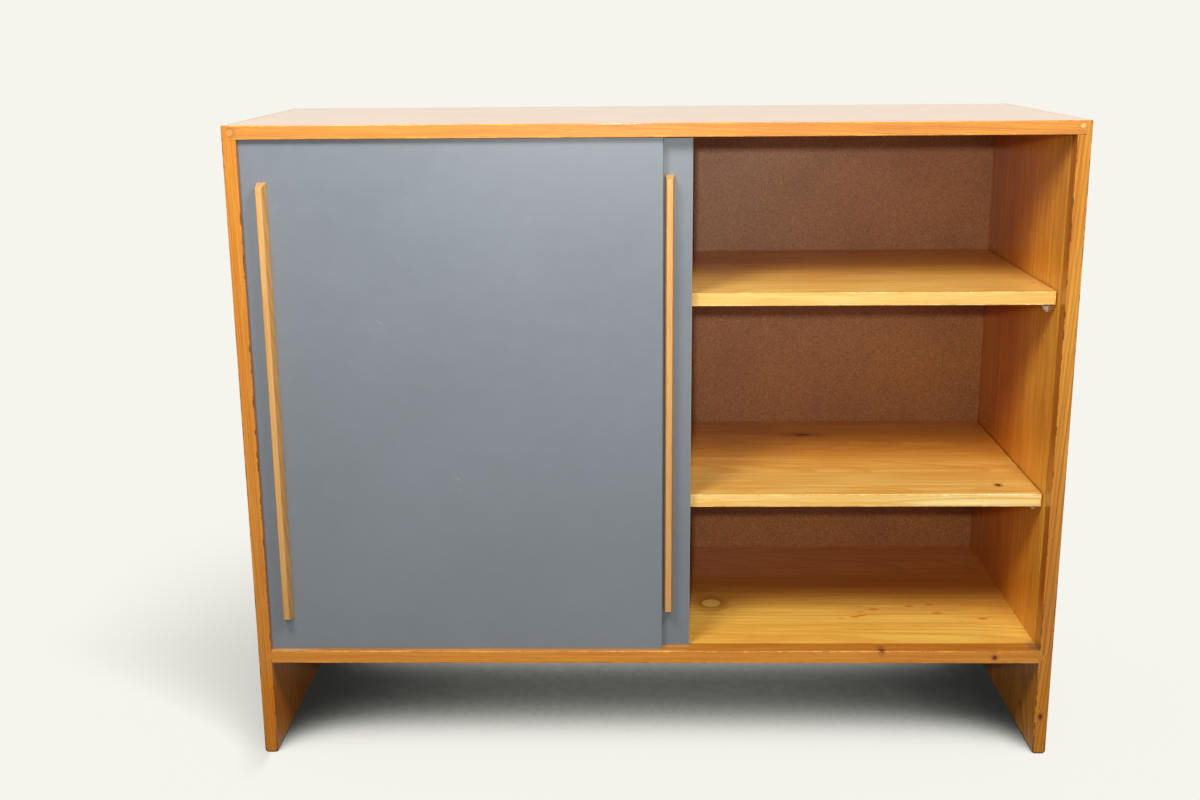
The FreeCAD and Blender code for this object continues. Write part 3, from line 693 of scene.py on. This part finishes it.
def dress(node: str, finish: Finish) -> None:
    """Gives a node of the frame its finish."""
    material = finish.material()
    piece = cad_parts[node]
    if not piece.material_slots:
        piece.data.materials.append(material)
    for slot in piece.material_slots:
        slot.material = material
    log.info("%s wears %s", node, material.name)


def put(name: str, data: bpy.types.ID) -> bpy.types.Object:
    """Puts a new object with this data in the scene and returns it."""
    made = bpy.data.objects.new(name, data)
    bpy.context.scene.collection.objects.link(made)
    return made


def put_mesh(mesh: Mesh, name: str, material: Material) -> bpy.types.Object:
    """Puts a mesh in the scene as an object of one material and returns the object."""
    data = bpy.data.meshes.new(name)
    mesh.to_mesh(data)
    mesh.free()
    data.materials.append(material)
    return put(name, data)


def seat(
    mesh: Mesh, name: str, body: str, nodes: Sequence[str], material: Material
) -> None:
    """Turns a mesh into a piece that stands for nodes of the frame and rides their body.

    Args:
        mesh: The shape, in the row frame; it is freed.
        name: Name of the new piece.
        body: Body that it moves with.
        nodes: Nodes that it stands for.
        material: What covers it.
    """
    bmesh.ops.recalc_face_normals(mesh, faces=mesh.faces)
    piece = put_mesh(mesh, name, material)
    piece.data.shade_smooth()
    piece.data.set_sharp_from_angle(angle=SHARP_ANGLE)
    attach(piece, body)
    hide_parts(*nodes)
    log.info("%s stands for %s", name, ", ".join(nodes))


def band(mesh: Mesh, first: Sequence, second: Sequence) -> List[bmesh.types.BMFace]:
    """Joins two closed rows of as many corners by a band of faces, and returns the faces."""
    corners = zip(first, [*first[1:], first[0]], [*second[1:], second[0]], second)
    return [mesh.faces.new(face) for face in corners]


def rounded_bar(
    mesh: Mesh, first: Corners, second: Corners, radius: float, axis: int, seat_at: float
) -> None:
    """Adds a bar between two outlines, with rounded arrises except round its seat.

    Args:
        mesh: Where it goes.
        first: Corners of one end.
        second: Corners of the other end, in the same order.
        radius: Radius of the arrises.
        axis: Axis square to the seat.
        seat_at: Place of the seat along that axis.
    """
    starts = [mesh.verts.new(corner) for corner in first]
    ends = [mesh.verts.new(corner) for corner in second]
    faces = [mesh.faces.new(starts), mesh.faces.new(ends)] + band(mesh, starts, ends)
    bmesh.ops.recalc_face_normals(mesh, faces=faces)
    edges = set()
    for vert in starts + ends:
        for edge in vert.link_edges:
            lifted = any(abs(end.co[axis] - seat_at) > TOUCH for end in edge.verts)
            if lifted and edge.calc_face_angle(0) > SHARP_ANGLE:
                edges.add(edge)
    rounding = {"offset_type": "OFFSET", "segments": 4, "profile": 0.5, "affect": "EDGES"}
    bmesh.ops.bevel(mesh, geom=list(edges), offset=radius, **rounding)


def turned(
    mesh: Mesh, profile: Sequence[Pair], start: Vector, axis: Vector, sides: int
) -> None:
    """Adds a body of revolution, closed at both ends.

    Args:
        mesh: Where it goes.
        profile: Radius and place along the axis of each ring.
        start: Point from which the axis starts.
        axis: Direction of the axis.
        sides: Number of flats round the axis.
    """
    direction = axis.normalized()
    level = direction.orthogonal().normalized()
    rise = direction.cross(level)
    rings = []
    for radius, place in profile:
        ring = []
        for index in range(sides):
            angle = 2 * math.pi * index / sides
            out = level * math.cos(angle) + rise * math.sin(angle)
            ring.append(mesh.verts.new(start + direction * place + out * radius))
        rings.append(ring)
    for first, second in zip(rings, rings[1:]):
        band(mesh, first, second)
    mesh.faces.new(rings[0])
    mesh.faces.new(rings[-1])


@dataclass
class Carcass:
    """Side, top and bottom boards and the partition, all of varnished pine."""

    upright: Tuple[str, ...] = ("left_side_panel", "right_side_panel", "centre_partition")
    level: Tuple[str, ...] = ("top_panel", "bottom_panel")
    early: Colour = paint(216, 144, 42)
    late: Colour = paint(164, 84, 12)
    deep: Colour = paint(194, 108, 20)
    strip: Colour = (0.85, 0.68, 0.55)
    seed_step: float = 1.7

    def build(self) -> None:
        """Dresses each board in wood of its own."""
        for number, node in enumerate(self.upright + self.level, 1):
            wood = Wood(
                name=f"varnished_pine_{node}",
                grain=Grain.UPRIGHT if node in self.upright else Grain.LEVEL,
                board=Box.of(node),
                seed=self.seed_step * number,
                late=self.late,
                deep=self.deep,
                **{"early": self.early, "strip": self.strip, **self.traits(node)},
            )
            dress(node, wood)

    def traits(self, node: str) -> Dict[str, object]:
        """What is particular to one board."""
        foot_knot = Spot((0.5395, -0.205, 0.0565), (2.6 * MM, 8 * MM, 4.4 * MM))
        # The rear tint is painted shade: the insides of the sides darken toward the back.
        foot, sheltered, rear = (0.9, 0.82, 0.6), (1.4, 1.42, 1.55), (0.74, 0.5, 0.2)
        side = dict(foot=foot, sheltered=sheltered, rear=rear, dirty=0.85, rubbed=0.35, calm=0.8)
        right = dict(early=paint(230, 162, 52), contrast=0.9, slant=-0.04, ring_width=5.4 * MM)
        coat = dict(coat=1.0, coat_index=1.6, coat_roughness=0.13)
        bottom = dict(
            sheltered=(1.7, 2.6, 5.6),
            # Painted shade: the bottom's upper face darkens toward the back.
            rear=(0.64, 0.38, 0.32),
            # Painted light: the bottom's front face a little paler.
            face=(1.1, 1.08, 1.05),
            strip=(1.0, 1.02, 1.5),
            resin=Box((0.27, -0.1, 0.15), (0.52, -0.035, 0.16)),
            stray_knots=0.0,
            spots=self.bottom_spots(),
        )
        traits = {
            "left_side_panel": dict(side, contrast=0.6, slant=0.01),
            "right_side_panel": dict(side, **right, spots=(foot_knot,)),
            "centre_partition": dict(contrast=0.7),
            "top_panel": dict(coat, contrast=0.5, rubbed=0.9, dirty=0.2, spots=self.top_spots()),
            "bottom_panel": dict(bottom, contrast=0.45, rubbed=0.9, dirty=0.3),
        }
        return traits[node]

    def top_spots(self) -> Tuple[Spot, ...]:
        """A filled nail hole at the right end and a small knot at the left one."""
        front = Box.of("top_panel").low[1]
        hole = Spot((0.538, front, 0.8682), (3.5 * MM, 6 * MM, 3.5 * MM), paint(226, 190, 96))
        filled_hole = replace(hole, ring_share=0.25, softness=0.5, crowding=0.0)
        tones = dict(core=paint(214, 142, 44), ring=paint(150, 84, 20))
        knot = Spot((-0.539, front, 0.866), (4.5 * MM, 8 * MM, 4.5 * MM), **tones, ring_share=0.5)
        return filled_hole, knot

    def bottom_spots(self) -> Tuple[Spot, ...]:
        """A plug on the upper face, knots at the front, dirt in a corner and a pale scuff."""
        board = Box.of("bottom_panel")
        front, top = board.low[1], board.high[2]
        tones = dict(core=paint(255, 206, 96), ring=paint(150, 76, 20), ring_share=0.55)
        plug = Spot((0.0895, -0.032, top), (14 * MM, 15 * MM, 8 * MM), **tones, softness=0.12)
        front_knot = Spot((0.4709, front, 0.1457), (3.4 * MM, 9 * MM, 3.2 * MM))
        notch = (0.3155, front + 6 * MM, top)
        notched_knot = Spot(notch, (4 * MM, 9 * MM, 4 * MM), core_share=0.7)
        corner = (0.529, -0.188, top)
        dirt = Spot.stain(corner, (9 * MM, 18 * MM, 4 * MM), paint(120, 104, 80), 0.75)
        track = (-0.505, front + 5 * MM, top)
        scuff = Spot.stain(track, (34 * MM, 5 * MM, 4 * MM), paint(228, 186, 130), 0.6)
        return plug, front_knot, notched_knot, dirt, scuff


@dataclass
class Shelving:
    """Four loose shelves and the supports that carry them."""

    body: str = "carcass"
    right: Tuple[str, ...] = ("right_upper_shelf", "right_lower_shelf")
    left: Tuple[str, ...] = ("left_upper_shelf", "left_lower_shelf")
    width: float = 10 * MM
    outline: Tuple[Pair, ...] = (
        (0, 0), (12, 0), (12, 5), (8, 8.2), (6, 12.2), (3.4, 15.6), (0, 17)
    )
    radius: float = 1.1 * MM
    stem_radius: float = 2.5 * MM
    stem_length: float = 8 * MM
    stem_overlap: float = 1 * MM
    stem_ease: float = 0.6 * MM
    stem_sides: int = 24
    drop: float = 10 * MM
    seed_step: float = 2.3

    @property
    def pine(self) -> Dict[str, object]:
        """What all the shelves have in common."""
        tones = dict(early=paint(253, 204, 108), late=paint(210, 137, 51), deep=paint(233, 163, 62))
        wear = dict(coat=0.45, contrast=0.5, blotches=0.7, rubbed=0.6, dirty=0.25)
        # The rear tint is painted shade: the shelves darken toward the back.
        return dict(tones, **wear, rear=(0.88, 0.64, 0.32))

    def build(self) -> None:
        """Dresses the shelves and makes their supports."""
        plastic = SupportPlastic().material()
        for number, node in enumerate(self.right + self.left, 1):
            wood = Wood(
                name=f"shelf_pine_{node}",
                grain=Grain.LEVEL,
                board=Box.of(node),
                seed=self.seed_step * number,
                **self.pine,
                **self.traits(node),
            )
            dress(node, wood)
            self.supports(f"{node}_supports", plastic)

    def traits(self, node: str) -> Dict[str, object]:
        """What is particular to one shelf; its paler front face is painted light."""
        if node != "right_lower_shelf":
            # Painted light: a paler front face.
            return {"face": (0.96, 1.07, 1.4)}
        knot = Spot((0.4808, -0.1282, 0.371), (4 * MM, 5 * MM, 4 * MM))
        return {"face": (1.17, 1.42, 2.15), "spots": (knot,)}

    def supports(self, node: str, plastic: Material) -> None:
        """Makes the four supports of one shelf, a single group in the frame."""
        box = Box.of(node)
        top = box.high[2]
        mesh = bmesh.new()
        full, eased = self.stem_radius, self.stem_radius - self.stem_ease
        stem = ((eased, 0), (full, self.stem_ease), (full, self.stem_length + self.stem_overlap))
        for y in (box.low[1] + self.width / 2, box.high[1] - self.width / 2):
            for outer, sign in ((box.low[0], 1), (box.high[0], -1)):
                self.support(mesh, outer + sign * self.stem_length, y, top, sign)
                start = Vector((outer, y, top - self.drop))
                turned(mesh, stem, start, Vector((sign, 0, 0)), self.stem_sides)
        seat(mesh, f"{node}_moulded", self.body, [node], plastic)

    def support(self, mesh: Mesh, wall: float, y: float, top: float, sign: int) -> None:
        """Adds the wedge of one support, which reaches from its wall to the side of the sign."""
        section = [(wall + sign * out * MM, top - down * MM) for out, down in self.outline]
        first, second = (
            [Vector((x, y + side * self.width / 2, z)) for x, z in section] for side in (-1, 1)
        )
        rounded_bar(mesh, first, second, self.radius, 0, wall)


@dataclass
class Back:
    """The hardboard back and the nails that hold it."""

    body: str = "carcass"
    rows: int = 8
    columns: int = 5
    corner_inset: float = 40 * MM
    head_radius: float = 2 * MM
    head_height: float = 0.8 * MM
    shank_radius: float = 0.8 * MM
    point_length: float = 3 * MM
    point_radius: float = 0.1 * MM
    sides: int = 16
    dome: Tuple[Pair, ...] = ((0.25, 0.0), (0.55, 0.08), (0.8, 0.3), (0.96, 0.62), (1.0, 1.0))

    def build(self) -> None:
        """Dresses the back and makes its nails."""
        dress("back_panel", Hardboard())
        node = "back_panel_nails"
        box = Box.of(node)
        mesh = bmesh.new()
        for x, z in self.nailed(box):
            self.nail(mesh, x, z, box)
        seat(mesh, f"{node}_round", self.body, [node], Steel().material())

    def nailed(self, box: Box) -> List[Pair]:
        """Places of the nails: two level rows and three upright columns."""
        side = box.high[0] - self.head_radius
        low = box.low[2] + self.head_radius
        high = box.high[2] - self.head_radius
        row_x = Box.of("right_side_panel").low[0] - self.corner_inset
        column_low = Box.of("bottom_panel").high[2] + self.corner_inset
        column_high = Box.of("top_panel").low[2] - self.corner_inset
        places = []
        for index in range(self.rows):
            x = -row_x + 2 * row_x * index / (self.rows - 1)
            places += [(x, low), (x, high)]
        for index in range(self.columns):
            z = column_low + (column_high - column_low) * index / (self.columns - 1)
            places += [(-side, z), (0, z), (side, z)]
        return places

    def nail(self, mesh: Mesh, x: float, z: float, box: Box) -> None:
        """Adds one nail, its domed head flush with the back of the group's box."""
        length = box.size(1)
        dome = [(self.head_radius * share, self.head_height * drop) for share, drop in self.dome]
        profile = dome + [
            (self.shank_radius, self.head_height),
            (self.shank_radius, length - self.point_length),
            (self.point_radius, length),
        ]
        turned(mesh, profile, Vector((x, box.high[1], z)), Vector((0, -1, 0)), self.sides)


@dataclass
class SlidingDoor:
    """A painted door, its wooden handle and the screws that hold the handle."""

    body: str
    finish: PaintedPlywood
    face_width: float = 8 * MM
    end_bevel: float = 5 * MM
    arris: float = 1.1 * MM
    screw_radius: float = 3.5 * MM
    shank_radius: float = 1.75 * MM
    recess_radius: float = 0.4 * MM
    recess_depth: float = 1.4 * MM
    point_length: float = 4 * MM
    point_radius: float = 0.2 * MM
    sides: int = 20

    def build(self) -> None:
        """Dresses the panel and makes the handle and its screws."""
        dress(f"{self.body}_panel", self.finish)
        self.handle()
        self.screws()

    def handle(self) -> None:
        """Makes the handle: a bar narrower at its face, with sloped ends."""
        node = f"{self.body}_handle"
        box = Box.of(node)
        front, rear = box.low[1], box.high[1]
        middle = box.centre(0)
        half = box.size(0) / 2
        narrow = self.face_width / 2
        mesh = bmesh.new()
        ends = []
        for z, inward in ((box.low[2], 1), (box.high[2], -1)):
            face_z = z + inward * self.end_bevel
            seated = [(middle - half, rear, z), (middle + half, rear, z)]
            faced = [(middle + narrow, front, face_z), (middle - narrow, front, face_z)]
            ends.append([Vector(corner) for corner in seated + faced])
        rounded_bar(mesh, ends[0], ends[1], self.arris, 1, rear)
        wood = Wood(
            name=f"handle_wood_{self.body}",
            grain=Grain.UPRIGHT,
            board=box,
            seed=3.9 * self.finish.seed,
            early=paint(220, 168, 98),
            late=paint(176, 118, 60),
            deep=paint(198, 142, 76),
            ring_width=1.9 * MM,
            stave_width=0.6,
            heart_depth=30 * MM,
            stray_knots=0,
            coat=0.3,
            rubbed=0.2,
            dirty=0.3,
        )
        seat(mesh, f"{node}_bar", self.body, [node], wood.material())

    def screws(self) -> None:
        """Makes the countersunk screws, heads flush with the back of the panel."""
        node = self.body.replace("door", "handle") + "_screws"
        box = Box.of(node)
        length = box.size(1)
        profile = (
            (self.recess_radius, self.recess_depth),
            (0.5 * self.screw_radius, 0),
            (self.screw_radius, 0),
            (self.shank_radius, self.screw_radius - self.shank_radius),
            (self.shank_radius, length - self.point_length),
            (self.point_radius, length),
        )
        mesh = bmesh.new()
        for z in (box.low[2] + self.screw_radius, box.centre(2), box.high[2] - self.screw_radius):
            start = Vector((box.centre(0), box.high[1], z))
            turned(mesh, profile, start, Vector((0, -1, 0)), self.sides)
        steel = Steel(name=f"steel_{self.body}").material()
        seat(mesh, f"{node}_turned", self.body, [node], steel)


@dataclass(frozen=True)
class Lamp:
    """A square lamp: where it hangs, the length of its side and its power in watts."""

    name: str
    place: Place
    size: float
    power: float
    by_the_eye: bool = False


@dataclass(frozen=True)
class SideShade:
    """The soft shadow on the floor to the left of the cabinet and, wider, behind it."""

    strength: float = 0.34
    narrow: float = 0.04
    widening: float = 0.46
    widening_along: Pair = (-0.24, 0.2)
    starts_along: Pair = (-0.3, -0.12)
    fades_along: Pair = (0.0, 0.9)
    behind_along: Pair = (0.2, 0.5)
    behind_shift: float = 0.6
    behind_softness: float = 0.4
    under: float = 0.002
    crisp: float = 0.012

    def mask(self, bench: Bench) -> Wire:
        """How much of the floor's light the shadow takes away, 0 to its strength."""
        x, y, _ = bench.point()
        side = Box.of("left_side_panel").low[0]
        width = self.narrow + self.widening * y.rise(*self.widening_along)
        behind = y.rise(*self.behind_along)
        right = behind * self.behind_shift + side + self.under
        soft = right + self.crisp + behind * self.behind_softness
        near = x.rise(side - width, side + self.under) * x.fall(right, soft)
        return near * y.rise(*self.starts_along) * y.fall(*self.fades_along) * self.strength


@dataclass
class Studio:
    """Floor, surroundings, lamps and camera."""

    backdrop: Colour = paint(245, 245, 237)
    daylight_colour: Colour = (0.96, 0.98, 1.0)
    daylight: float = 0.066
    lit_middle: Place = (0, 0, 0.45)
    lamps: Tuple[Lamp, ...] = (
        Lamp("left_softbox", (-0.54, -1.12, 1.59), size=0.42, power=18.1),
        Lamp("right_softbox", (0.5, -1.1, 1.7), size=0.5, power=18.1),
        Lamp("rear_left_softbox", (-1.7, 1.5, 1.9), size=0.6, power=32.0),
        Lamp("rear_right_softbox", (1.7, 1.5, 1.9), size=0.6, power=32.0),
        Lamp("flash", (-0.03, -0.06, 0.1), size=0.05, power=20.0, by_the_eye=True),
    )
    eye: Place = (-0.03351, -2.04038, 0.98683)
    pitch: float = -0.25177
    roll: float = 0.00792
    yaw: float = 0.02051
    lens: float = 42.96
    sensor: float = 36.0
    floor_size: float = 60.0
    floor_return: Colour = (0.165, 0.15, 0.128)
    side_shade: SideShade = SideShade()
    openness_reach: float = 0.9
    openness_samples: int = 40
    light_by_openness: Tuple[Pair, ...] = (
        (0.0, 0.02), (0.12, 0.024), (0.16, 0.04), (0.2, 0.24), (0.25, 0.5),
        (0.31, 0.78), (0.4, 0.92), (0.5, 0.97), (0.7, 0.99), (1.0, 1.0),
    )

    def build(self) -> None:
        """Sets the stage and the camera."""
        self.view()
        self.surroundings()
        self.floor()
        for lamp in self.lamps:
            self.hang(lamp)

    def view(self) -> None:
        """Places the camera and sets the plain view transform."""
        turn = Matrix.Rotation(self.yaw, 3, "Z") @ Matrix.Rotation(self.pitch, 3, "X")
        turn = turn @ Matrix.Rotation(self.roll, 3, "Y")
        columns = (turn.col[0], turn.col[2], -turn.col[1])
        matrix = Matrix(columns).transposed().to_4x4()
        matrix.translation = Vector(self.eye)
        camera = put("camera", bpy.data.cameras.new("camera"))
        camera.matrix_world = matrix
        camera.data.sensor_width = self.sensor
        camera.data.lens = self.lens
        bpy.context.scene.camera = camera
        bpy.context.scene.view_settings.view_transform = "Standard"

    def end(self, bench: Bench, kind: str, light: Wire, plain: Wire) -> None:
        """Ends a tree: the eye, mirrors and glass see the plain shader, all else the light."""
        camera = bench.node("LightPath", output="Is Camera Ray")
        clear = camera.beside("Is Transmission Ray")
        seen = camera.most(camera.beside("Is Glossy Ray")).most(clear)
        bench.end(kind, bench.node("MixShader", {0: seen, 1: light, 2: plain}))

    def surroundings(self) -> None:
        """Soft daylight all round; the eye sees the plain backdrop colour."""
        world = bpy.data.worlds.new("surroundings")
        world.use_nodes = True
        bpy.context.scene.world = world
        bench = Bench(world.node_tree)
        sky = {"Color": self.daylight_colour, "Strength": self.daylight}
        light = bench.node("Background", sky)
        plain = bench.node("Background", {"Color": self.backdrop, "Strength": 1.0})
        self.end(bench, "OutputWorld", light, plain)

    def floor(self) -> None:
        """A wide pale floor that keeps the cabinet's shadow."""
        bench, material = Bench.for_material("floor")
        samples = {"samples": self.openness_samples}
        reach = {"Distance": self.openness_reach}
        open_share = bench.node("AmbientOcclusion", reach, samples, "AO")
        stops = [(share, (light, light, light)) for share, light in self.light_by_openness]
        shade = bench.node("ValToRGB", {"Fac": open_share}, {"stops": stops})
        shade = shade * (1 - self.side_shade.mask(bench))
        plain = bench.node("Emission", {"Color": shade * self.backdrop, "Strength": 1.0})
        light = bench.node("BsdfDiffuse", {"Color": self.floor_return})
        self.end(bench, "OutputMaterial", light, plain)
        mesh = bmesh.new()
        half = self.floor_size / 2
        corners = ((-half, -half), (half, -half), (half, half), (-half, half))
        mesh.faces.new([mesh.verts.new((x, y, 0)) for x, y in corners])
        put_mesh(mesh, "floor", material)

    def hang(self, lamp: Lamp) -> None:
        """Hangs a lamp so that it looks at the middle of the cabinet."""
        light = bpy.data.lights.new(lamp.name, "AREA")
        light.size = lamp.size
        light.energy = lamp.power
        place = Vector(lamp.place)
        if lamp.by_the_eye:
            place = Vector(self.eye) + place
        hung = put(lamp.name, light)
        hung.location = place
        aim = Vector(self.lit_middle) - place
        hung.rotation_euler = aim.to_track_quat("-Z", "Y").to_euler()


def main() -> None:
    """Builds the cabinet's looks and its stage."""
    logging.basicConfig(level=logging.INFO)
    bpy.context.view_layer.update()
    Carcass().build()
    Shelving().build()
    Back().build()
    front_paint = PaintedPlywood(
        name="painted_plywood_front_door",
        panel=Box.of("front_door_panel"),
        seed=1.0,
        grey=paint(118, 125, 131),
        chips=(Chip(0.011, 0.8605, 4 * MM, 3 * MM), Chip(0.0115, 0.1515, 2 * MM, 1.6 * MM)),
    )
    rear_paint = PaintedPlywood(
        name="painted_plywood_rear_door",
        panel=Box.of("rear_door_panel"),
        seed=2.0,
        # Painted shade: the rear door, set behind the front one, gets a darker grey.
        grey=paint(113, 120, 126),
        chips=(Chip(0.0495, 0.8565, 2 * MM, 2.6 * MM), Chip(0.0495, 0.152, 2 * MM, 1.4 * MM)),
        rubbed_edge=(0.70, 0.83),
    )
    SlidingDoor("front_door", front_paint).build()
    SlidingDoor("rear_door", rear_paint).build()
    Studio().build()


if __name__ == "__main__":
    main()
